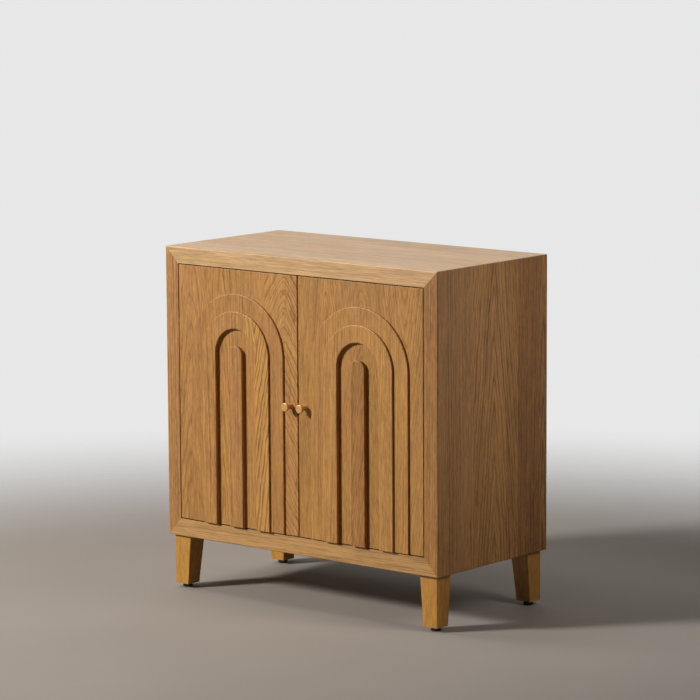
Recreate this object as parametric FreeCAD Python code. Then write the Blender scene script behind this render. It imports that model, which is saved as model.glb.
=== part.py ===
import FreeCAD, Part
import os
from math import hypot, sqrt

from FreeCAD import Placement, Rotation, Vector

# Entryway cabinet: mitred case on four tapered legs, two inset doors with stepped arch relief.
# Millimetres. +X right, front faces -Y, +Z up, floor at z = 0, box centred on X and Y.

# Case
overall_width = 800.0
case_depth = 400.0
case_height = 678.0
top_thickness = 38.0
side_thickness = 38.0
bottom_thickness = 41.0
case_arris = 2.5

# Loose tongues glued across the mitres
spline_thickness = 4.0
spline_width = 18.0
spline_end_clearance = 0.5
spline_from_inside = 21.0
spline_stop = 40.0

# Back panel in a rebate
back_thickness = 8.0
rebate_width = 10.0
back_edge_clearance = 0.5
back_screw_corner_distance = 75.0
back_screw_head = 7.0
back_screw_shank = 3.5
back_screw_length = 25.0

# Legs and glides
leg_height = 116.0
leg_top_size = 49.0
leg_foot_size = 39.5
leg_inset = 10.0
leg_edge_radius = 2.0
stud_diameter = 8.0
stud_in_leg = 40.0
stud_in_insert = 20.0
insert_diameter = 12.0
insert_length = 24.0
glide_diameter = 22.0
glide_height = 10.0
glide_chamfer = 0.8
glide_screw_recess = 2.0
glide_screw_head = 7.0
glide_screw_shank = 3.5
glide_screw_length = 22.0

# Shelf on four spoon pins, with spare pin holes above and below
shelf_thickness = 18.0
shelf_front_setback = 60.0
shelf_side_clearance = 1.0
shelf_back_clearance = 2.0
shelf_arris = 1.0
pin_diameter = 5.0
pin_depth = 10.0
pin_hole_spare = 1.0
pin_row_inset = 45.0
pin_pitch = 32.0
pin_spare_holes = 2
tongue_length = 14.0
tongue_width = 12.0
tongue_thickness = 3.0

# Doors
door_thickness = 20.0
door_gap = 2.5
centre_gap = 3.6
door_arris = 0.8

# Arch relief: an outer and an inner arch, then a bare channel, then a round-topped bar
relief_step = 4.8
arch_side_margin = 39.0
arch_top_margin = 54.5
stripes_per_half = 3.5
relief_arris = 2.0

# Knobs
knob_projection = 23.0
knob_foot_radius = 7.2
knob_foot_height = 1.2
knob_neck_radius = 5.8
knob_collar_radius = 6.8
knob_head_radius = 10.0
knob_head_thickness = 7.0
knob_rim_height = 2.2
knob_rim_round = 2.0
knob_ring_radius = 5.0
knob_ring_width = 1.0
knob_ring_depth = 0.4
knob_thread_diameter = 4.0
knob_thread_depth = 14.0
knob_screw_grip = 12.0
knob_screw_bore = 4.6
knob_screw_head = 8.0
knob_screw_head_height = 2.6
knob_screw_slot_width = 1.3
knob_screw_slot_depth = 1.3

# Pivot hinges let into the door ends and the case
pivot_edge_distance = 16.0
pivot_setback = 8.0
pivot_diameter = 6.0
pivot_running_clearance = 0.05
pivot_engagement = 6.0
pivot_bore_diameter = 7.0
pivot_bore_spare = 1.0
plate_length = 50.0
plate_width = 14.0
plate_thickness = 2.5
plate_edge_margin = 6.0
plate_screw_first = 26.0
plate_screw_pitch = 15.0
plate_screw_head = 6.0
plate_screw_shank = 3.0
plate_screw_length = 16.0
washer_diameter = 12.0
washer_clearance = 0.1

# Magnetic catch under the top and strikes on the door backs
catch_half_width = 30.0
catch_depth = 12.0
catch_height = 14.0
catch_ear_length = 12.0
catch_ear_thickness = 4.0
catch_clearance = 0.3
catch_screw_head = 6.0
catch_screw_shank = 3.0
catch_screw_length = 20.0
magnet_width = 18.0
magnet_depth = 6.0
magnet_height = 8.0
magnet_drop = 8.0
strike_edge_distance = 15.0
strike_width = 20.0
strike_height = 10.0
strike_thickness = 1.5
strike_screw_head = 5.0
strike_screw_shank = 2.5
strike_screw_length = 12.0

# Cross recess of a countersunk screw, as shares of its head and of its head's overhang
recess_arm_share = 0.3
recess_blade_share = 0.07
recess_depth_share = 0.3

# Derived levels
half_width = overall_width / 2
front_y = (knob_projection - case_depth) / 2
back_y = front_y + case_depth
case_bottom = glide_height + leg_height
case_top = case_bottom + case_height
inner_half = half_width - side_thickness
inner_bottom = case_bottom + bottom_thickness
inner_top = case_top - top_thickness
door_back = front_y + door_thickness
door_bottom = inner_bottom + door_gap
door_top = inner_top - door_gap
back_front = back_y - back_thickness

# The bands, the channel and the bar are one stripe wide, the bar half a stripe each side of the middle
door_width = inner_half - door_gap - centre_gap / 2
outer_radius = door_width / 2 - arch_side_margin
stripe_width = outer_radius / stripes_per_half
bar_radius = stripe_width / 2
channel_radius = bar_radius + stripe_width
inner_radius = channel_radius + stripe_width
spring_z = door_top - arch_top_margin - outer_radius

UP = Vector(0, 0, 1)
DOWN = Vector(0, 0, -1)
FORWARD = Vector(0, -1, 0)
BACKWARD = Vector(0, 1, 0)
SAME_PLANE = 1e-6


def block(x_a, x_b, y_a, y_b, z_a, z_b):
    """Box between two corners given in any order."""
    low = Vector(min(x_a, x_b), min(y_a, y_b), min(z_a, z_b))
    return Part.makeBox(abs(x_b - x_a), abs(y_b - y_a), abs(z_b - z_a), low)


def prism(points, y_a, y_b):
    """Polygon given in X and Z, carried along Y."""
    corners = [Vector(x, y_a, z) for x, z in points]
    wire = Part.makePolygon(corners + corners[:1])
    return Part.Face(wire).extrude(Vector(0, y_b - y_a, 0))


def placed(shape, base, direction):
    """Shape drawn along +Z from the origin, set at base and turned to direction."""
    shape.Placement = Placement(base, Rotation(UP, direction))
    return shape


def turned(profile, base, direction):
    """Solid of revolution from (radius, distance) pairs along direction."""
    corners = [Vector(radius, 0, distance) for radius, distance in profile]
    wire = Part.makePolygon(corners + corners[:1])
    solid = Part.Face(wire).revolve(Vector(0, 0, 0), UP, 360)
    return placed(solid, base, direction)


def rod(radius, length, base, direction):
    return Part.makeCylinder(radius, length, base, direction)


def screw_body(base, direction, head, shank, length):
    """Countersunk screw without its drive recess, head face at base."""
    head_depth = (head - shank) / 2
    tip = shank
    profile = [
        (0, 0),
        (head / 2, 0),
        (shank / 2, head_depth),
        (shank / 2, length - tip),
        (0, length),
    ]
    return turned(profile, base, direction)


def screw(base, direction, head, shank, length):
    """Countersunk screw with a cross recess."""
    reach = head * recess_arm_share
    blade = head * recess_blade_share
    depth = (head - shank) * recess_depth_share
    one = Part.makeBox(2 * reach, 2 * blade, depth, Vector(-reach, -blade, 0))
    two = Part.makeBox(2 * blade, 2 * reach, depth, Vector(-blade, -reach, 0))
    recess = placed(one.fuse(two), base, direction)
    return screw_body(base, direction, head, shank, length).cut(recess)


def flat_edges(shape, y):
    """Edges of the shape that lie in the plane at y."""
    found = []
    for edge in shape.Edges:
        box = edge.BoundBox
        if abs(box.YMin - y) < SAME_PLANE and abs(box.YMax - y) < SAME_PLANE:
            found.append(edge)
    return found


def save(name, shapes):
    """Write one node: a single solid, or a group of separate solids."""
    shape = shapes[0] if len(shapes) == 1 else Part.makeCompound(shapes)
    shape.exportStep("parts/" + name + ".step")


os.makedirs("parts", exist_ok=True)

# Case panels: trapezoid sections meet on the mitres, softened by one rounded outline
outline = block(-half_width, half_width, front_y, back_y, case_bottom, case_top)
outline = outline.makeFillet(case_arris, outline.Edges)
sections = {
    "top_panel": [
        (-half_width, case_top),
        (half_width, case_top),
        (inner_half, inner_top),
        (-inner_half, inner_top),
    ],
    "bottom_panel": [
        (-half_width, case_bottom),
        (half_width, case_bottom),
        (inner_half, inner_bottom),
        (-inner_half, inner_bottom),
    ],
    "left_side": [
        (-half_width, case_bottom),
        (-inner_half, inner_bottom),
        (-inner_half, inner_top),
        (-half_width, case_top),
    ],
    "right_side": [
        (half_width, case_bottom),
        (inner_half, inner_bottom),
        (inner_half, inner_top),
        (half_width, case_top),
    ],
}
rebate = block(
    -inner_half - rebate_width,
    inner_half + rebate_width,
    back_front,
    back_y,
    inner_bottom - rebate_width,
    inner_top + rebate_width,
)
case = {}
for name, section in sections.items():
    case[name] = outline.common(prism(section, front_y, back_y)).cut(rebate)


def tongue_section(outer, inner, width):
    """Corners of a tongue standing square across the mitre from outer to inner."""
    run = hypot(inner[0] - outer[0], inner[1] - outer[1])
    along = ((inner[0] - outer[0]) / run, (inner[1] - outer[1]) / run)
    across = (-along[1], along[0])
    centre_x = inner[0] - along[0] * spline_from_inside
    centre_z = inner[1] - along[1] * spline_from_inside
    corners = []
    for side, end in ((-1, -1), (1, -1), (1, 1), (-1, 1)):
        x = centre_x + across[0] * side * width / 2 + along[0] * end * spline_thickness / 2
        z = centre_z + across[1] * side * width / 2 + along[1] * end * spline_thickness / 2
        corners.append((x, z))
    return corners


splines = []
for sign, side in ((-1, "left_side"), (1, "right_side")):
    for level, outer_z, inner_z in (
        ("top_panel", case_top, inner_top),
        ("bottom_panel", case_bottom, inner_bottom),
    ):
        outer = (sign * half_width, outer_z)
        inner = (sign * inner_half, inner_z)
        y_a = front_y + spline_stop
        y_b = back_y - spline_stop
        splines.append(prism(tongue_section(outer, inner, spline_width), y_a, y_b))
        slot_width = spline_width + 2 * spline_end_clearance
        slot = prism(tongue_section(outer, inner, slot_width), y_a, y_b)
        case[level] = case[level].cut(slot)
        case[side] = case[side].cut(slot)
save("mitre_splines", splines)

# Back panel and the screws round its edge
back_half = inner_half + rebate_width - back_edge_clearance
back_low = inner_bottom - rebate_width + back_edge_clearance
back_high = inner_top + rebate_width - back_edge_clearance
back_panel = block(-back_half, back_half, back_front, back_y, back_low, back_high)
middle_z = (inner_bottom + inner_top) / 2
screw_line = inner_half + rebate_width / 2
spread_x = inner_half - back_screw_corner_distance
spread_z = (inner_top - inner_bottom) / 2 - back_screw_corner_distance
back_places = []
for step in (-1, 0, 1):
    back_places.append(("left_side", -screw_line, middle_z + step * spread_z))
    back_places.append(("right_side", screw_line, middle_z + step * spread_z))
    back_places.append(("top_panel", step * spread_x, inner_top + rebate_width / 2))
    back_places.append(("bottom_panel", step * spread_x, inner_bottom - rebate_width / 2))
back_screws = []
for panel, x, z in back_places:
    spec = (back_screw_head, back_screw_shank, back_screw_length)
    base = Vector(x, back_y, z)
    back_screws.append(screw(base, FORWARD, *spec))
    hole = screw_body(base, FORWARD, *spec)
    back_panel = back_panel.cut(hole)
    case[panel] = case[panel].cut(hole)
save("back_panel", [back_panel])
save("back_screws", back_screws)

# Legs: outer faces upright, inner faces drawn in toward the foot
studs = []
inserts = []
glides = []
glide_screws = []
for row, sign_y, edge_y in (("front", 1, front_y), ("back", -1, back_y)):
    for column, sign_x in (("left", 1), ("right", -1)):
        corner_x = -sign_x * (half_width - leg_inset)
        corner_y = edge_y + sign_y * leg_inset
        rings = []
        for size, z in ((leg_foot_size, glide_height), (leg_top_size, case_bottom)):
            far_x = corner_x + sign_x * size
            far_y = corner_y + sign_y * size
            ring = [
                Vector(corner_x, corner_y, z),
                Vector(far_x, corner_y, z),
                Vector(far_x, far_y, z),
                Vector(corner_x, far_y, z),
            ]
            rings.append(Part.makePolygon(ring + ring[:1]))
        leg = Part.makeLoft(rings, True, True)
        long_edges = [edge for edge in leg.Edges if edge.BoundBox.ZLength > leg_height / 2]
        leg = leg.makeFillet(leg_edge_radius, long_edges)

        stud_x = corner_x + sign_x * leg_top_size / 2
        stud_y = corner_y + sign_y * leg_top_size / 2
        stud_base = Vector(stud_x, stud_y, case_bottom - stud_in_leg)
        stud = rod(stud_diameter / 2, stud_in_leg + stud_in_insert, stud_base, UP)
        studs.append(stud)
        seat = rod(insert_diameter / 2, insert_length, Vector(stud_x, stud_y, case_bottom), UP)
        thread = rod(stud_diameter / 2, insert_length, Vector(stud_x, stud_y, case_bottom), UP)
        inserts.append(seat.cut(thread))
        case["bottom_panel"] = case["bottom_panel"].cut(seat)

        foot_x = corner_x + sign_x * leg_foot_size / 2
        foot_y = corner_y + sign_y * leg_foot_size / 2
        foot = Vector(foot_x, foot_y, 0)
        head_base = Vector(foot_x, foot_y, glide_screw_recess)
        spec = (glide_screw_head, glide_screw_shank, glide_screw_length)
        glide_screws.append(screw(head_base, UP, *spec))
        screw_hole = screw_body(head_base, UP, *spec)
        glide_radius = glide_diameter / 2
        glide_profile = [
            (0, 0),
            (glide_radius - glide_chamfer, 0),
            (glide_radius, glide_chamfer),
            (glide_radius, glide_height),
            (0, glide_height),
        ]
        glide = turned(glide_profile, foot, UP).cut(screw_hole)
        glide = glide.cut(rod(glide_screw_head / 2, glide_screw_recess, foot, UP))
        glides.append(glide)
        save("leg_" + row + "_" + column, [leg.cut(stud).cut(screw_hole)])
save("leg_studs", studs)
save("leg_inserts", inserts)
save("glides", glides)
save("glide_screws", glide_screws)

# Shelf, its spoon pins and the rows of pin holes
pin_radius = pin_diameter / 2
shelf_half = inner_half - shelf_side_clearance
shelf_front = front_y + shelf_front_setback
shelf_back = back_front - shelf_back_clearance
pin_z = middle_z - shelf_thickness / 2
shelf_z = pin_z + pin_radius
shelf = block(-shelf_half, shelf_half, shelf_front, shelf_back, shelf_z, shelf_z + shelf_thickness)
shelf = shelf.makeFillet(shelf_arris, flat_edges(shelf, shelf_front))
save("shelf", [shelf])
pins = []
for sign, side in ((-1, "left_side"), (1, "right_side")):
    wall = sign * inner_half
    outward = Vector(sign, 0, 0)
    for row_y in (shelf_front + pin_row_inset, shelf_back - pin_row_inset):
        peg = rod(pin_radius, pin_depth, Vector(wall, row_y, pin_z), outward)
        tongue = block(
            wall,
            wall - sign * tongue_length,
            row_y - tongue_width / 2,
            row_y + tongue_width / 2,
            shelf_z - tongue_thickness,
            shelf_z,
        )
        pins.append(peg.fuse(tongue))
        for step in range(-pin_spare_holes, pin_spare_holes + 1):
            mouth = Vector(wall, row_y, pin_z + step * pin_pitch)
            hole = rod(pin_radius, pin_depth + pin_hole_spare, mouth, outward)
            case[side] = case[side].cut(hole)
save("shelf_pins", pins)

# Magnetic catch hung under the middle of the top
catch_front = door_back + strike_thickness + catch_clearance
catch_back = catch_front + catch_depth
housing = block(
    -catch_half_width,
    catch_half_width,
    catch_front,
    catch_back,
    inner_top - catch_height,
    inner_top,
)
ear_reach = catch_half_width + catch_ear_length
ears = block(-ear_reach, ear_reach, catch_front, catch_back, inner_top - catch_ear_thickness, inner_top)
housing = housing.fuse(ears).removeSplitter()
magnet_z = inner_top - magnet_drop
magnets = []
catch_screws = []
for sign in (-1, 1):
    magnet_x = sign * (centre_gap / 2 + strike_edge_distance)
    magnet = block(
        magnet_x - magnet_width / 2,
        magnet_x + magnet_width / 2,
        catch_front,
        catch_front + magnet_depth,
        magnet_z - magnet_height / 2,
        magnet_z + magnet_height / 2,
    )
    magnets.append(magnet)
    housing = housing.cut(magnet)
    screw_x = sign * (catch_half_width + catch_ear_length / 2)
    base = Vector(screw_x, (catch_front + catch_back) / 2, inner_top - catch_ear_thickness)
    spec = (catch_screw_head, catch_screw_shank, catch_screw_length)
    catch_screws.append(screw(base, UP, *spec))
    hole = screw_body(base, UP, *spec)
    housing = housing.cut(hole)
    case["top_panel"] = case["top_panel"].cut(hole)
save("catch_housing", [housing])
save("catch_magnets", magnets)
save("catch_screws", catch_screws)


def arch(centre_x, radius, thickness):
    """Round-headed slab on the door face, down to the door's bottom edge."""
    left_foot = Vector(centre_x - radius, front_y, door_bottom)
    left_spring = Vector(centre_x - radius, front_y, spring_z)
    crown = Vector(centre_x, front_y, spring_z + radius)
    right_spring = Vector(centre_x + radius, front_y, spring_z)
    right_foot = Vector(centre_x + radius, front_y, door_bottom)
    path = [
        Part.makeLine(left_foot, left_spring),
        Part.Arc(left_spring, crown, right_spring).toShape(),
        Part.makeLine(right_spring, right_foot),
        Part.makeLine(right_foot, left_foot),
    ]
    return Part.Face(Part.Wire(path)).extrude(FORWARD * thickness)


def turned_knob(base):
    """Mushroom knob standing out of the door: foot, waisted neck, round-rimmed head, ringed flat face."""
    collar = knob_projection - knob_head_thickness
    rim_end = knob_projection - knob_rim_round
    rim_start = rim_end - knob_rim_height
    waist = (knob_foot_height + collar) / 2
    face_radius = knob_head_radius - knob_rim_round
    rim_bulge = knob_rim_round / sqrt(2)
    foot = Vector(knob_foot_radius, 0, 0)
    foot_top = Vector(knob_foot_radius, 0, knob_foot_height)
    neck_top = Vector(knob_collar_radius, 0, collar)
    rim_low = Vector(knob_head_radius, 0, rim_start)
    rim_high = Vector(knob_head_radius, 0, rim_end)
    rim_middle = Vector(face_radius + rim_bulge, 0, rim_end + rim_bulge)
    face_edge = Vector(face_radius, 0, knob_projection)
    ring_outside = Vector(knob_ring_radius + knob_ring_width / 2, 0, knob_projection)
    ring_floor = Vector(knob_ring_radius, 0, knob_projection - knob_ring_depth)
    ring_inside = Vector(knob_ring_radius - knob_ring_width / 2, 0, knob_projection)
    crown = Vector(0, 0, knob_projection)
    centre = Vector(0, 0, 0)
    path = [
        Part.makeLine(centre, foot),
        Part.makeLine(foot, foot_top),
        Part.Arc(foot_top, Vector(knob_neck_radius, 0, waist), neck_top).toShape(),
        Part.makeLine(neck_top, rim_low),
        Part.makeLine(rim_low, rim_high),
        Part.Arc(rim_high, rim_middle, face_edge).toShape(),
        Part.makeLine(face_edge, ring_outside),
        Part.makeLine(ring_outside, ring_floor),
        Part.makeLine(ring_floor, ring_inside),
        Part.makeLine(ring_inside, crown),
        Part.makeLine(crown, centre),
    ]
    solid = Part.Face(Part.Wire(path)).revolve(centre, UP, 360)
    return placed(solid, base, FORWARD)


def eased(shape, thickness):
    """Shape with the edges of its front face softened."""
    return shape.makeFillet(relief_arris, flat_edges(shape, front_y - thickness))


# Doors with their relief, knobs, pivot plates and strikes
case_plates = []
case_plate_screws = []
pivots = []
washers = []
for sign, hand in ((-1, "left"), (1, "right")):
    free_x = sign * centre_gap / 2
    hinge_x = sign * (inner_half - door_gap)
    centre_x = (free_x + hinge_x) / 2
    panel = block(free_x, hinge_x, front_y, door_back, door_bottom, door_top)
    panel = panel.makeFillet(door_arris, flat_edges(panel, front_y))

    full_height = 2 * relief_step
    outer_arch = eased(arch(centre_x, outer_radius, relief_step), relief_step)
    outer_arch = outer_arch.cut(arch(centre_x, inner_radius, relief_step))
    inner_arch = arch(centre_x, inner_radius, full_height)
    inner_arch = inner_arch.cut(arch(centre_x, channel_radius, full_height))
    centre_bar = arch(centre_x, bar_radius, full_height)
    save(hand + "_outer_arch", [outer_arch])
    save(hand + "_inner_arch", [eased(inner_arch, full_height)])
    save(hand + "_centre_bar", [eased(centre_bar, full_height)])

    # Knob in the middle of the bare margin, drawn up by a screw from inside
    knob_x = free_x + sign * arch_side_margin / 2
    knob_z = (door_bottom + door_top) / 2
    knob_base = Vector(knob_x, front_y, knob_z)
    knob = turned_knob(knob_base)
    knob = knob.cut(rod(knob_thread_diameter / 2, knob_thread_depth, knob_base, FORWARD))
    save(hand + "_knob", [knob])
    screw_base = Vector(knob_x, door_back, knob_z)
    shank_length = door_thickness + knob_screw_grip
    knob_screw = rod(knob_thread_diameter / 2, shank_length, screw_base, FORWARD)
    head = rod(knob_screw_head / 2, knob_screw_head_height, screw_base, BACKWARD)
    slot = block(
        knob_x - knob_screw_head / 2,
        knob_x + knob_screw_head / 2,
        door_back + knob_screw_head_height - knob_screw_slot_depth,
        door_back + knob_screw_head_height,
        knob_z - knob_screw_slot_width / 2,
        knob_z + knob_screw_slot_width / 2,
    )
    save(hand + "_knob_screw", [knob_screw.fuse(head.cut(slot))])
    panel = panel.cut(rod(knob_screw_bore / 2, door_thickness, screw_base, FORWARD))

    # Pivot hinges at the bottom and the top of the door
    pivot_x = hinge_x - sign * pivot_edge_distance
    pivot_y = front_y + pivot_setback
    plate_a = hinge_x - sign * plate_edge_margin
    plate_b = plate_a - sign * plate_length
    plate_mid_y = front_y + door_thickness / 2
    plate_low_y = plate_mid_y - plate_width / 2
    plate_high_y = plate_mid_y + plate_width / 2
    spec = (plate_screw_head, plate_screw_shank, plate_screw_length)
    door_plates = []
    door_plate_screws = []
    for inward, door_face, case_face, board in (
        (UP, door_bottom, inner_bottom, "bottom_panel"),
        (DOWN, door_top, inner_top, "top_panel"),
    ):
        way = inward.z
        mortise = block(
            plate_a, plate_b, plate_low_y, plate_high_y, door_face, door_face + way * plate_thickness
        )
        recess = block(
            plate_a, plate_b, plate_low_y, plate_high_y, case_face, case_face - way * plate_thickness
        )
        eye_radius = pivot_diameter / 2 + pivot_running_clearance
        eye = rod(eye_radius, plate_thickness, Vector(pivot_x, pivot_y, door_face), inward)
        door_plate = mortise.cut(eye)
        seat = rod(pivot_diameter / 2, plate_thickness, Vector(pivot_x, pivot_y, case_face), -inward)
        case_plate = recess.cut(seat)
        bore_depth = plate_thickness + pivot_engagement + pivot_bore_spare
        bore = rod(pivot_bore_diameter / 2, bore_depth, Vector(pivot_x, pivot_y, door_face), inward)
        panel = panel.cut(mortise).cut(bore)
        case[board] = case[board].cut(recess)
        pivot_length = 2 * plate_thickness + door_gap + pivot_engagement
        pivot_foot = Vector(pivot_x, pivot_y, case_face - way * plate_thickness)
        pivots.append(rod(pivot_diameter / 2, pivot_length, pivot_foot, inward))
        for number in (0, 1):
            along = plate_screw_first + number * plate_screw_pitch
            screw_x = plate_a - sign * along
            door_base = Vector(screw_x, plate_mid_y, door_face)
            case_base = Vector(screw_x, plate_mid_y, case_face)
            door_plate_screws.append(screw(door_base, inward, *spec))
            case_plate_screws.append(screw(case_base, -inward, *spec))
            door_hole = screw_body(door_base, inward, *spec)
            case_hole = screw_body(case_base, -inward, *spec)
            door_plate = door_plate.cut(door_hole)
            case_plate = case_plate.cut(case_hole)
            panel = panel.cut(door_hole)
            case[board] = case[board].cut(case_hole)
        door_plates.append(door_plate)
        case_plates.append(case_plate)
    washer_base = Vector(pivot_x, pivot_y, inner_bottom)
    washer = rod(washer_diameter / 2, door_gap - washer_clearance, washer_base, UP)
    washers.append(washer.cut(rod(pivot_diameter / 2, door_gap, washer_base, UP)))
    save(hand + "_hinge_plates", door_plates)
    save(hand + "_hinge_screws", door_plate_screws)

    # Steel strike that meets the magnet
    strike_x = free_x + sign * strike_edge_distance
    strike = block(
        strike_x - strike_width / 2,
        strike_x + strike_width / 2,
        door_back,
        door_back + strike_thickness,
        magnet_z - strike_height / 2,
        magnet_z + strike_height / 2,
    )
    spec = (strike_screw_head, strike_screw_shank, strike_screw_length)
    strike_base = Vector(strike_x, door_back + strike_thickness, magnet_z)
    hole = screw_body(strike_base, FORWARD, *spec)
    save(hand + "_strike", [strike.cut(hole)])
    save(hand + "_strike_screw", [screw(strike_base, FORWARD, *spec)])
    save(hand + "_door_panel", [panel.cut(hole)])

save("case_hinge_plates", case_plates)
save("case_hinge_screws", case_plate_screws)
save("hinge_pivots", pivots)
save("thrust_washers", washers)
for name, panel in case.items():
    save(name, [panel])
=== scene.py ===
from collections import namedtuple
from math import radians

import bpy
from mathutils import Matrix, Vector


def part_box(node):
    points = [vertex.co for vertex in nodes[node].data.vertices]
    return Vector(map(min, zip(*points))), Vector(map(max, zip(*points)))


# Looks for an entryway cabinet: satin lacquered open-grain wood, warm metal knobs, dark hinges and black
# glides. Metres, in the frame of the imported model: +Z up, the doors face -Y.

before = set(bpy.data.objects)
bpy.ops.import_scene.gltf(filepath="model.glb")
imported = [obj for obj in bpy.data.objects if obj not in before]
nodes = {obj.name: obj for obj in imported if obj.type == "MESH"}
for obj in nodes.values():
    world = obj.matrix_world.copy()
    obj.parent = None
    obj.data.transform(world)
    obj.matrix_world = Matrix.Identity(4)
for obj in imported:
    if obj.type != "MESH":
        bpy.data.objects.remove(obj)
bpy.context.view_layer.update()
scene = bpy.context.scene
X, Y, Z = 0, 1, 2
LOW, HIGH = 0, 1


def add(tree, kind, inputs=None, **settings):
    """New shader node. Inputs maps socket names or numbers to values or to other nodes' sockets."""
    node = tree.nodes.new("ShaderNode" + kind)
    for key, value in settings.items():
        setattr(node, key, value)
    for key, value in (inputs or {}).items():
        if isinstance(value, bpy.types.NodeSocket):
            tree.links.new(value, node.inputs[key])
        else:
            node.inputs[key].default_value = value
    return node


def calc(tree, operation, first, *more):
    """Math node over one value, or a chain of them over several."""
    if not more:
        return add(tree, "Math", {0: first}, operation=operation).outputs[0]
    result = first
    for value in more:
        result = add(tree, "Math", {0: result, 1: value}, operation=operation).outputs[0]
    return result


def remap(tree, value, low, high, new_low, new_high):
    """Value from low..high carried to new_low..new_high, held at the ends."""
    sockets = {"Value": value, 1: low, 2: high, 3: new_low, 4: new_high}
    return add(tree, "MapRange", sockets).outputs[0]


def spread(tree, value, new_low, new_high):
    """Noise, which lies mostly between 0.3 and 0.7, carried to new_low..new_high."""
    return remap(tree, value, 0.3, 0.7, new_low, new_high)


def noise(tree, vector, fineness, detail=2.0, roughness=0.5):
    """Noise between 0 and 1. Its fineness is one number, or one for each axis, in waves per metre."""
    scale = (fineness, fineness, fineness) if isinstance(fineness, float) else fineness
    stretched = add(tree, "Mapping", {"Vector": vector, "Scale": scale}, vector_type="POINT")
    sockets = {"Vector": stretched.outputs[0], "Scale": 1.0, "Detail": detail, "Roughness": roughness}
    return add(tree, "TexNoise", sockets).outputs[0]


def ramp(tree, value, stops, interpolation="LINEAR"):
    """Colour and alpha of a ramp from (position, colour) pairs; a single number stands for a grey."""
    node = add(tree, "ValToRGB", {0: value})
    elements = node.color_ramp.elements
    node.color_ramp.interpolation = interpolation
    while len(elements) > len(stops):
        elements.remove(elements[-1])
    while len(elements) < len(stops):
        elements.new(0.5)
    for element, (position, colour) in zip(elements, stops):
        element.position = position
        element.color = colour if isinstance(colour, tuple) else (colour, colour, colour, 1.0)
    return node.outputs


def mix(tree, factor, first, second, blend="MIX"):
    """Colour mix of two colours or colour sockets."""
    node = add(tree, "Mix", data_type="RGBA", blend_type=blend, clamp_factor=True)
    for index, value in ((0, factor), (6, first), (7, second)):
        if isinstance(value, bpy.types.NodeSocket):
            tree.links.new(value, node.inputs[index])
        else:
            node.inputs[index].default_value = value if index == 0 else (*value, 1.0)
    return node.outputs[2]


def relief(tree, surface, height, strength, distance):
    """Fine bumps on a surface."""
    bump = add(tree, "Bump", {"Strength": strength, "Distance": distance, "Height": height})
    tree.links.new(bump.outputs[0], surface.inputs["Normal"])


def material(name):
    """New material, its node tree and its surface shader."""
    made = bpy.data.materials.new(name)
    made.use_nodes = True
    return made, made.node_tree, made.node_tree.nodes["Principled BSDF"]


# One strip of a glued-up board, from the strip before it to its edge. Its growth rings run round a pith
# line: where the line lies across the board, how deep under the show face, how fast the rings narrow up
# the trunk, which draws them out into pointed arches, and how far apart they are. Tint, warm, bold and red
# are 0.5 for the board's own tone and figure: less is darker, yellower, fainter or greyer, more is paler,
# pinker, stronger or redder. REST is the edge of the last strip, beyond any board here.
Stave = namedtuple(
    "Stave",
    "edge pith depth taper spacing tint warm bold red",
    defaults=(0.12, 0.0, 0.008, 0.5, 0.5, 0.5, 0.5),
)
REST = 0.5

# Noise drawn out along the grain: its fineness along and across the grain, the detail and roughness of the
# noise, and how far it shades the tone or, as blush, turns it pinker
Texture = namedtuple("Texture", "along across detail rough shade", defaults=(2.0, 0.5, 0.0))

# The pith line wanders along the board and sways across it; ripples bend the rings, whose strength varies
WANDER = Texture(3.0, 1.5)
SWAY = Texture(4.0, 5.0, detail=3.0)
RIPPLE = Texture(22.0, 80.0)
STRENGTH = Texture(2.5, 25.0)

# Hairs, fibres, streaks, slow drift and blush of the tone, and open pores
HAIR = Texture(65.0, 420.0, detail=3.0, rough=0.6, shade=0.16)
FIBRE = Texture(22.0, 180.0, detail=3.0, rough=0.65, shade=0.18)
STREAK = Texture(6.0, 60.0, detail=3.0, rough=0.6, shade=0.09)
DRIFT = Texture(1.5, 11.0, shade=0.07)
BLUSH = Texture(3.0, 40.0, shade=0.25)
PORES = Texture(60.0, 1200.0, rough=0.6, shade=-0.25)
TINT_SHADE = 0.3

# How far apart two boards, and two staves with their piths a metre apart, read the noise
BOARD_STEP = 2.3
STAVE_STEP = 37.0

# How far the pith line strays in metres, and how far the rings stray from an even width in years
WANDER_LENGTH = 0.10
SWAY_WIDTH = 0.012
UNEVEN_YEARS = 2.4
UNEVEN_FINENESS = 0.42
RIPPLE_YEARS = 0.8

# Darkness through one year's growth, from early to late wood, and the noise between which a pore opens
YEAR = [(0.0, 1.0), (0.12, 0.9), (0.3, 0.25), (0.8, 0.0), (1.0, 0.5)]
PORE_EDGE = (0.54, 0.66)

# Change of red, green and blue where the wood is pinkest, and of green and blue where a stave is reddest
PINK = (0.02, -0.07, 0.22)
RED = -0.15


def third(along, across):
    """The axis that is neither of two others."""
    return X + Y + Z - along - across


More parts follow.
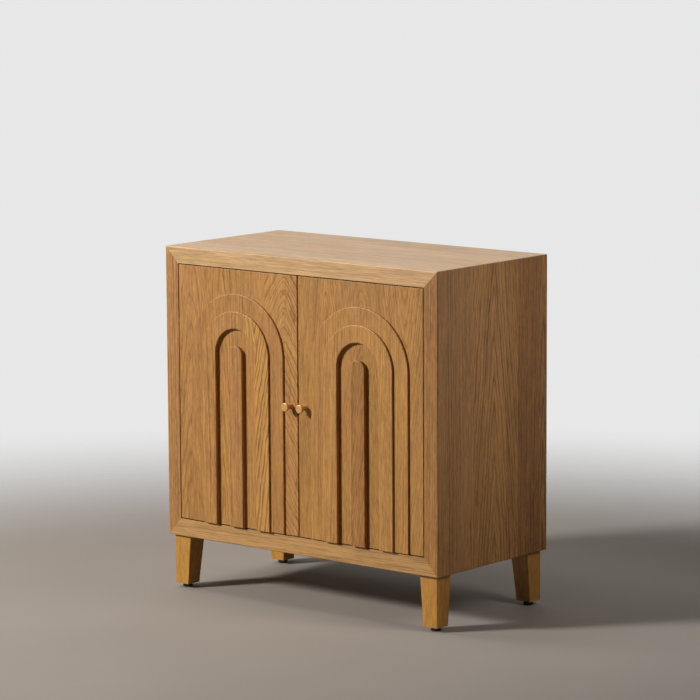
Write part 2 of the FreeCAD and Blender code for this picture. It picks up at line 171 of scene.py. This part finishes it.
def stave_at(tree, across, staves):
    """Sockets, as a Stave without an edge, with the values of the stave at each place across the board.

    Two stepped ramps over one metre of width carry the values, shifted so that none lies below 0.
    """
    spacing_scale = 20.0
    figure_stops = []
    finish_stops = []
    start = 0.0
    for stave in staves:
        taper = (stave.taper + 1.0) / 2.0
        figure_stops.append((start, (stave.pith + 0.5, stave.depth, taper, stave.spacing * spacing_scale)))
        finish_stops.append((start, (stave.tint, stave.warm, stave.bold, stave.red)))
        start = stave.edge + 0.5
    across_metre = calc(tree, "ADD", across, 0.5)
    figure, spacing = ramp(tree, across_metre, figure_stops, "CONSTANT")
    finish, red = ramp(tree, across_metre, finish_stops, "CONSTANT")
    pith, depth, taper = add(tree, "SeparateColor", {0: figure}).outputs
    tint, warm, bold = add(tree, "SeparateColor", {0: finish}).outputs
    pith = calc(tree, "SUBTRACT", pith, 0.5)
    taper = calc(tree, "SUBTRACT", calc(tree, "MULTIPLY", taper, 2.0), 1.0)
    spacing = calc(tree, "DIVIDE", spacing, spacing_scale)
    return Stave(None, pith, depth, taper, spacing, tint, warm, bold, red)


def ring_count(tree, here, aside, inside, along, grain):
    """Growth rings counted from the pith line, which wanders along the board.

    Aside is the distance from the line across the board, inside the distance from the show face and along
    the place along the grain. Grain gives the noise of a texture.
    """
    wander = calc(tree, "SUBTRACT", grain(WANDER), 0.5)
    sway = calc(tree, "SUBTRACT", grain(SWAY), 0.5)
    aside = calc(tree, "ADD", aside, calc(tree, "MULTIPLY", sway, SWAY_WIDTH))
    depth = calc(tree, "ADD", here.depth, inside)
    reach = add(tree, "CombineXYZ", {0: aside, 1: depth}).outputs[0]
    radius = add(tree, "VectorMath", {0: reach}, operation="LENGTH").outputs["Value"]
    lift = calc(tree, "ADD", along, calc(tree, "MULTIPLY", wander, WANDER_LENGTH))
    radius = calc(tree, "ADD", radius, calc(tree, "MULTIPLY", lift, here.taper))

    years = calc(tree, "DIVIDE", radius, here.spacing)
    sockets = {"W": years, "Scale": UNEVEN_FINENESS, "Detail": 2.0}
    uneven = add(tree, "TexNoise", sockets, noise_dimensions="1D").outputs[0]
    uneven = calc(tree, "MULTIPLY", uneven, UNEVEN_YEARS)
    ripple = calc(tree, "MULTIPLY", grain(RIPPLE), RIPPLE_YEARS)
    return calc(tree, "ADD", years, uneven, ripple)


def stave_hue(tree, here, shade, blush):
    """Colour that tones the wood: its shade, pinker in warm staves and blush, redder in red staves."""
    pinker = calc(tree, "SUBTRACT", here.warm, 0.5)
    pinker = calc(tree, "ADD", pinker, spread(tree, blush, -BLUSH.shade, BLUSH.shade))
    redder = calc(tree, "MULTIPLY", shade, remap(tree, here.red, 0.0, 1.0, 1.0 - RED, 1.0 + RED))
    channels = {}
    for index, level in enumerate((shade, redder, redder)):
        pink = remap(tree, pinker, -1.0, 1.0, 1.0 - PINK[index], 1.0 + PINK[index])
        channels[index] = calc(tree, "MULTIPLY", level, pink)
    return add(tree, "CombineColor", channels).outputs[0]


def lacquer(tree, surface, place, hair, pores, early, gloss):
    """Satin lacquer that follows hairs, pores and early wood, duller over pores and smudges."""
    smudges = noise(tree, place, fineness=9.0, detail=4.0)
    rough = calc(
        tree, "ADD",
        spread(tree, hair, gloss - 0.05, gloss + 0.06),
        calc(tree, "MULTIPLY", pores, 0.18),
        remap(tree, smudges, 0.45, 0.7, 0.0, 0.06),
    )
    tree.links.new(rough, surface.inputs["Roughness"])
    raised = calc(tree, "MULTIPLY", hair, 0.35)
    height = calc(tree, "SUBTRACT", raised, pores, calc(tree, "MULTIPLY", early, 0.4))
    relief(tree, surface, height, strength=0.35, distance=0.0003)


def wood(name, along, across, face, staves, tones, seed, contrast=0.9, gloss=0.42, stretch=1.0):
    """Sawn wood whose growth rings are cut by the board's faces.

    Along and across are the axes of the grain and of the board's width, and face is where the show face
    lies on the third axis. A pith near the face gives pointed figure and a far one straight lines. Stretch
    draws the fibres and streaks out along the grain.
    """
    made, tree, surface = material(name)
    light, dark = tones
    place = add(tree, "TexCoord").outputs["Object"]
    parts = add(tree, "SeparateXYZ", {0: place}).outputs
    here = stave_at(tree, parts[across], staves)

    # Every stave and every board reads its own part of the noise
    offset = calc(tree, "ADD", calc(tree, "MULTIPLY", here.pith, STAVE_STEP), seed * BOARD_STEP)
    own = add(tree, "VectorMath", {0: place, 1: offset}, operation="ADD").outputs[0]

    def grain(texture, drawn_out=stretch):
        """Noise of a texture in this board."""
        fineness = [texture.across, texture.across, texture.across]
        fineness[along] = texture.along / drawn_out
        return noise(tree, own, fineness, texture.detail, texture.rough)

    # Early wood is dark, more in some places than in others, and holds the open pores
    aside = calc(tree, "SUBTRACT", parts[across], here.pith)
    inside = calc(tree, "ABSOLUTE", calc(tree, "SUBTRACT", parts[third(along, across)], face))
    rings = ring_count(tree, here, aside, inside, parts[along], grain)
    year = ramp(tree, calc(tree, "FRACT", rings), YEAR)[0]
    strength = spread(tree, grain(STRENGTH), 0.3, 1.0)
    early = calc(tree, "MULTIPLY", year, strength, calc(tree, "MULTIPLY", here.bold, 2.0))
    pores = remap(tree, grain(PORES), *PORE_EDGE, 0.0, 1.0)
    pores = calc(tree, "MULTIPLY", pores, remap(tree, year, 0.1, 0.8, 0.15, 1.0))

    # Fibres, streaks and slow drift of tone
    hair = grain(HAIR)
    shade = calc(
        tree, "ADD",
        spread(tree, grain(DRIFT, drawn_out=1.0), 1.0 - DRIFT.shade, 1.0 + DRIFT.shade),
        spread(tree, grain(STREAK), -STREAK.shade, STREAK.shade),
        spread(tree, grain(FIBRE), -FIBRE.shade, FIBRE.shade),
        spread(tree, hair, -HAIR.shade, HAIR.shade),
        remap(tree, here.tint, 0.0, 1.0, -TINT_SHADE, TINT_SHADE),
        calc(tree, "MULTIPLY", pores, PORES.shade),
    )
    hue = stave_hue(tree, here, shade, grain(BLUSH))
    colour = mix(tree, calc(tree, "MULTIPLY", early, contrast), light, dark)
    tree.links.new(mix(tree, 1.0, colour, hue, "MULTIPLY"), surface.inputs["Base Color"])
    lacquer(tree, surface, place, hair, pores, early, gloss)
    return made


def metal(name, colour, rough, tooling, bare=1.0):
    """Metal with dull patches and fine tooling lines, whose fineness is tooling.

    Bare is 1 without a coat of lacquer on it.
    """
    made, tree, surface = material(name)
    place = add(tree, "TexCoord").outputs["Object"]
    lines = noise(tree, place, tooling, detail=3.0, roughness=0.7)
    patches = noise(tree, place, fineness=90.0, detail=4.0)
    dull = tuple(channel * 0.72 for channel in colour)
    worn = mix(tree, remap(tree, patches, 0.4, 0.7, 0.0, 0.5), colour, dull)
    tree.links.new(worn, surface.inputs["Base Color"])
    surface.inputs["Metallic"].default_value = bare
    shine = spread(tree, lines, rough - 0.06, rough + 0.08)
    shine = calc(tree, "ADD", shine, remap(tree, patches, 0.4, 0.7, 0.0, 0.08))
    tree.links.new(shine, surface.inputs["Roughness"])
    relief(tree, surface, lines, strength=0.2, distance=0.0001)
    return made


def plastic(name, colour, rough):
    """Moulded plastic with a fine grained skin and scuffed patches."""
    made, tree, surface = material(name)
    place = add(tree, "TexCoord").outputs["Object"]
    skin = noise(tree, place, fineness=2500.0)
    scuffs = noise(tree, place, fineness=120.0, detail=4.0)
    pale = tuple(channel * 1.8 + 0.01 for channel in colour)
    worn = mix(tree, remap(tree, scuffs, 0.5, 0.75, 0.0, 0.6), colour, pale)
    tree.links.new(worn, surface.inputs["Base Color"])
    tree.links.new(spread(tree, scuffs, rough - 0.05, rough + 0.1), surface.inputs["Roughness"])
    relief(tree, surface, skin, strength=0.25, distance=0.0001)
    return made


def dress(names, look):
    """Give one material to each named node."""
    for name in names:
        mesh = nodes[name].data
        mesh.materials.clear()
        mesh.materials.append(look)


def board(node, along, across, shown, staves, tones, seed, **finish):
    """Wood for one board; shown is the end of its box, low or high, where its show face lies."""
    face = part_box(node)[shown][third(along, across)]
    name = node.replace("_", " ") + " wood"
    dress([node], wood(name, along, across, face, staves, tones, seed, **finish))


# Wood tones, pale and dark, in linear light
CASE = ((0.50, 0.238, 0.070), (0.27, 0.108, 0.022))
DOOR = ((0.51, 0.240, 0.062), (0.28, 0.108, 0.019))
# Top: paler wood, as its front edge shows; this paleness and a little raised blue also paint part of the
# sheen on the top face
TOP_AND_SHEEN = ((0.66, 0.40, 0.182), (0.46, 0.233, 0.080))
BOTTOM = ((0.59, 0.32, 0.110), (0.34, 0.153, 0.040))
LEG = ((0.56, 0.268, 0.046), (0.43, 0.180, 0.022))

# Case boards, glued up from staves
top_staves = [
    Stave(-0.09, -0.25, depth=0.15, taper=0.01, spacing=0.007),
    Stave(0.06, -0.40, depth=0.10, taper=0.02, warm=0.55),
    Stave(REST, 0.50, depth=0.15, taper=0.01, tint=0.46),
]
# Right side: tints that grow darker and less pink from the front staves to the back ones paint the shade
# that falls towards the back of the side; the strips and their figure are the wood's own
right_staves_and_painted_shade = [
    Stave(-0.1845, -0.1885, depth=0.05, taper=0.01, spacing=0.006, tint=0.22, warm=0.05, red=0.8),
    Stave(-0.063, -0.30, depth=0.05, taper=0.01, spacing=0.007, tint=0.42, warm=1.0, red=0.35),
    Stave(0.055, 0.0145, depth=0.004, taper=0.11, spacing=0.010, warm=0.6, bold=0.85, red=0.45),
    Stave(0.099, 0.0145, depth=0.004, taper=0.11, spacing=0.010, tint=0.30, warm=0.4, bold=0.85, red=0.6),
    Stave(0.178, 0.40, depth=0.05, taper=0.02, spacing=0.006, tint=0.0, warm=0.0, bold=0.55, red=1.0),
    Stave(REST, 0.195, depth=0.004, taper=0.06, spacing=0.010, tint=0.12, warm=0.0, bold=1.0, red=0.75),
]
left_staves = [
    Stave(-0.05, -0.25, taper=0.01, spacing=0.007, warm=0.55),
    Stave(0.08, 0.02, depth=0.006, taper=-0.10, spacing=0.009, tint=0.54),
    Stave(REST, 0.40, depth=0.10, taper=0.02, tint=0.45),
]
plain_staves = [
    Stave(-0.04, -0.22, depth=0.10, taper=0.02, spacing=0.007),
    Stave(0.10, 0.03, depth=0.03, taper=0.05),
    Stave(REST, 0.35, taper=0.01, tint=0.46),
]
back_staves = [Stave(0.0, -0.2, depth=0.02, taper=0.10), Stave(REST, 0.2, depth=0.02, taper=-0.10)]
board("top_panel", X, Y, HIGH, top_staves, TOP_AND_SHEEN, seed=1, contrast=0.7, stretch=2.2)
board("bottom_panel", X, Y, HIGH, plain_staves, BOTTOM, seed=2, stretch=2.2)
board("right_side", Z, Y, HIGH, right_staves_and_painted_shade, CASE, seed=3)
board("left_side", Z, Y, LOW, left_staves, CASE, seed=4)
board("shelf", X, Y, HIGH, plain_staves, CASE, seed=5)
board("mitre_splines", Y, X, HIGH, [Stave(REST, 0.3)], TOP_AND_SHEEN, seed=6)
board("back_panel", Z, X, HIGH, back_staves, CASE, seed=7, gloss=0.6)

# Doors: the panel and each band of the relief have their own figure
left_door_staves = {
    "door_panel": [
        Stave(-0.26, -0.325, depth=0.02, taper=0.12, spacing=0.009),
        Stave(-0.20, -0.228, depth=0.004, taper=0.08, spacing=0.009, tint=0.66, warm=0.3, bold=0.7),
        Stave(-0.10, -0.50, depth=0.10, taper=0.02, spacing=0.007, tint=0.47, warm=0.45, bold=0.35),
        Stave(REST, -0.040, depth=0.006, taper=0.55, spacing=0.012, tint=0.71, warm=0.6, bold=0.6, red=0.4),
    ],
    "outer_arch": [
        Stave(REST, -0.50, depth=0.10, taper=0.02, spacing=0.007, tint=0.39, bold=0.35, red=0.6),
    ],
    "inner_arch": [
        Stave(-0.15, -0.50, depth=0.15, taper=0.02, spacing=0.007, tint=0.49),
        Stave(REST, -0.122, depth=0.003, taper=-0.19, spacing=0.010, tint=0.97, warm=0.4, bold=1.0, red=0.3),
    ],
    "centre_bar": [
        Stave(REST, -0.5, depth=0.2, taper=0.01, spacing=0.007, tint=0.44, warm=0.75),
    ],
}
right_door_staves = {
    "door_panel": [
        Stave(0.13, 0.084, depth=0.008, taper=0.12, spacing=0.007, tint=0.48, warm=0.15, red=0.6),
        Stave(0.24, 0.185, depth=0.008, taper=0.25, spacing=0.007, tint=0.47, warm=0.1, bold=0.35, red=0.55),
        Stave(REST, 0.308, depth=0.008, taper=-0.15, spacing=0.007, tint=0.53, warm=0.35),
    ],
    "outer_arch": [
        Stave(REST, 0.60, depth=0.10, taper=0.02, spacing=0.006, tint=0.61, warm=0.40),
    ],
    "inner_arch": [
        Stave(REST, 0.45, depth=0.10, taper=0.03, spacing=0.007, tint=0.63, warm=0.35, bold=0.35),
    ],
    "centre_bar": [
        Stave(REST, 0.205, depth=0.010, taper=0.16, tint=0.18, warm=0.0, red=0.9),
    ],
}
for hand, pieces, seed in (("left", left_door_staves, 11), ("right", right_door_staves, 21)):
    for number, (piece, staves) in enumerate(pieces.items()):
        board(hand + "_" + piece, Z, X, LOW, staves, DOOR, seed + number)

# Legs, each from its own piece of wood; the back right leg's darker tint is painted shade
leg_stave = Stave(REST, 0.45, depth=0.1, taper=0.01, spacing=0.005)
leg_staves_and_painted_shade = {
    "front_left": leg_stave._replace(tint=0.52, warm=0.65, red=0.35),
    "front_right": leg_stave._replace(tint=0.55, warm=0.6, red=0.65),
    "back_left": leg_stave,
    # Darker tint: painted shade on the back right leg, under the back of the case
    "back_right": leg_stave._replace(tint=0.4),
}
for number, (corner, stave) in enumerate(leg_staves_and_painted_shade.items()):
    board("leg_" + corner, Z, X, LOW, [stave], LEG, 31 + number, contrast=0.5, gloss=0.36)

# Metal and plastic
FINE_TOOLING = 700.0
PLATE_TOOLING = (150.0, 900.0, 900.0)
MAGNET_TOOLING = 300.0
knob_metal = metal("knob metal", (0.80, 0.44, 0.17), 0.36, FINE_TOOLING, bare=0.35)
plated_steel = metal("plated steel", (0.62, 0.62, 0.60), 0.32, PLATE_TOOLING)
dark_bronze = metal("dark bronze", (0.10, 0.065, 0.04), 0.40, PLATE_TOOLING)
magnet_metal = metal("magnet metal", (0.16, 0.16, 0.17), 0.45, MAGNET_TOOLING)
steel_nodes = ["back_screws", "shelf_pins", "leg_studs", "leg_inserts", "glide_screws", "catch_screws"]
hinge_nodes = ["case_hinge_plates", "case_hinge_screws", "hinge_pivots"]
for hand in ("left", "right"):
    steel_nodes += [hand + "_knob_screw", hand + "_strike", hand + "_strike_screw"]
    hinge_nodes += [hand + "_hinge_plates", hand + "_hinge_screws"]
dress(["left_knob", "right_knob"], knob_metal)
dress(steel_nodes, plated_steel)
dress(hinge_nodes, dark_bronze)
dress(["catch_magnets"], magnet_metal)
dress(["thrust_washers"], plastic("dark nylon", (0.015, 0.010, 0.008), 0.5))
dress(["glides"], plastic("black plastic", (0.012, 0.012, 0.012), 0.55))
dress(["catch_housing"], plastic("brown plastic", (0.10, 0.05, 0.025), 0.45))

# Floor that fades into the pale background away from its middle
FLOOR_SIZE = 12.0
FLOOR_TONES = ((0.367, 0.320, 0.276), (0.424, 0.374, 0.327))
FLOOR_BOUNCE = (0.22, 0.19, 0.16)
FLOOR_MIDDLE = (0.6, -0.8, 0.0)
FLOOR_NEAR_FADE = 1.7
FLOOR_FAR_FADE = 3.4


def floor_look():
    """Mottled floor that fades out; the light that it throws back on the object is darker and even."""
    made, tree, surface = material("floor")
    place = add(tree, "TexCoord").outputs["Object"]
    mottle = noise(tree, place, fineness=2.0, detail=5.0)
    rays = add(tree, "LightPath").outputs
    seen = calc(tree, "MAXIMUM", rays["Is Camera Ray"], rays["Is Glossy Ray"], rays["Is Transmission Ray"])
    colour = mix(tree, seen, FLOOR_BOUNCE, mix(tree, mottle, *FLOOR_TONES))
    tree.links.new(colour, surface.inputs["Base Color"])
    surface.inputs["Roughness"].default_value = 0.7
    surface.inputs["Specular IOR Level"].default_value = 0.1
    away = add(tree, "VectorMath", {0: place, 1: FLOOR_MIDDLE}, operation="DISTANCE").outputs["Value"]
    sockets = {"Value": away, 1: FLOOR_NEAR_FADE, 2: FLOOR_FAR_FADE, 3: 0.0, 4: 1.0}
    fade = add(tree, "MapRange", sockets, interpolation_type="SMOOTHSTEP").outputs[0]
    clear = add(tree, "BsdfTransparent").outputs[0]
    blend = add(tree, "MixShader", {0: fade, 1: surface.outputs[0], 2: clear}).outputs[0]
    tree.links.new(blend, tree.nodes["Material Output"].inputs["Surface"])
    return made


bpy.ops.mesh.primitive_plane_add(size=FLOOR_SIZE)
floor = bpy.context.object
floor.name = "floor"
floor.data.materials.append(floor_look())

# World: pale to the eye, a low even fill on the object, brighter reflections from the back left
FILL = 0.025
PALE = 0.80
GLOSSY_LOW = 0.20
GLOSSY_HIGH = 1.0
BRIGHT_SIDE = (-0.64, 0.77, 0.0)


def studio():
    """World whose strength depends on the kind of ray, and in reflections on its direction."""
    world = bpy.data.worlds.new("studio")
    world.use_nodes = True
    tree = world.node_tree
    rays = add(tree, "LightPath").outputs
    seen = calc(tree, "MAXIMUM", rays["Is Camera Ray"], rays["Is Transmission Ray"])
    level = remap(tree, seen, 0.0, 1.0, FILL, PALE)
    direction = add(tree, "TexCoord").outputs["Generated"]
    facing = add(tree, "VectorMath", {0: direction, 1: BRIGHT_SIDE}, operation="DOT_PRODUCT")
    glossy = remap(tree, facing.outputs["Value"], 0.2, 1.0, GLOSSY_LOW, GLOSSY_HIGH)
    level = calc(tree, "MAXIMUM", level, calc(tree, "MULTIPLY", rays["Is Glossy Ray"], glossy))
    background = tree.nodes["Background"]
    background.inputs["Color"].default_value = (1.0, 1.0, 1.0, 1.0)
    tree.links.new(level, background.inputs["Strength"])
    return world


scene.world = studio()


def lamp(name, place, target, size, power, spread_angle=180.0):
    """Soft box at place, turned to target; a grid on its front can narrow the spread of its light."""
    data = bpy.data.lights.new(name, "AREA")
    data.shape = "RECTANGLE"
    data.size, data.size_y = size
    data.energy = power
    data.spread = radians(spread_angle)
    made = bpy.data.objects.new(name, data)
    made.location = place
    made.rotation_euler = (Vector(target) - Vector(place)).to_track_quat("-Z", "Y").to_euler()
    made.visible_camera = False
    scene.collection.objects.link(made)


lamp("key", (-2.90, -4.19, 2.87), (0.0, -0.19, 0.46), size=(0.8, 0.8), power=296.0)
lamp("back bounce", (-1.6, 1.3, 3.4), (0.0, 0.0, 0.75), size=(2.4, 1.2), power=10.0)
lamp("top bounce", (-1.3, -0.5, 3.3), (-0.3, -0.2, 0.0), size=(0.9, 1.8), power=24.0)
lamp("side bounce", (1.35, 0.1, 1.05), (0.4, 0.02, 0.5), size=(0.25, 0.6), power=1.5, spread_angle=100.0)

# Camera at the photograph's viewing angle, turned in degrees, with its lens in millimetres
CAMERA_PLACE = (5.0274, -6.0431, 1.7424)
CAMERA_YAW = 39.781
CAMERA_DOWN = 8.453
CAMERA_ROLL = -0.312
CAMERA_SENSOR = 36.0
CAMERA_LENS = 178.7
CAMERA_REACH = 100.0
camera_data = bpy.data.cameras.new("camera")
camera_data.sensor_width = CAMERA_SENSOR
camera_data.lens = CAMERA_LENS
camera_data.clip_end = CAMERA_REACH
camera = bpy.data.objects.new("camera", camera_data)
turn = Matrix.Rotation(radians(CAMERA_YAW), 4, "Z") @ Matrix.Rotation(radians(90.0 - CAMERA_DOWN), 4, "X")
roll = Matrix.Rotation(radians(CAMERA_ROLL), 4, "Z")
camera.matrix_world = Matrix.Translation(CAMERA_PLACE) @ turn @ roll
scene.collection.objects.link(camera)
scene.camera = camera
scene.view_settings.view_transform = "Standard"
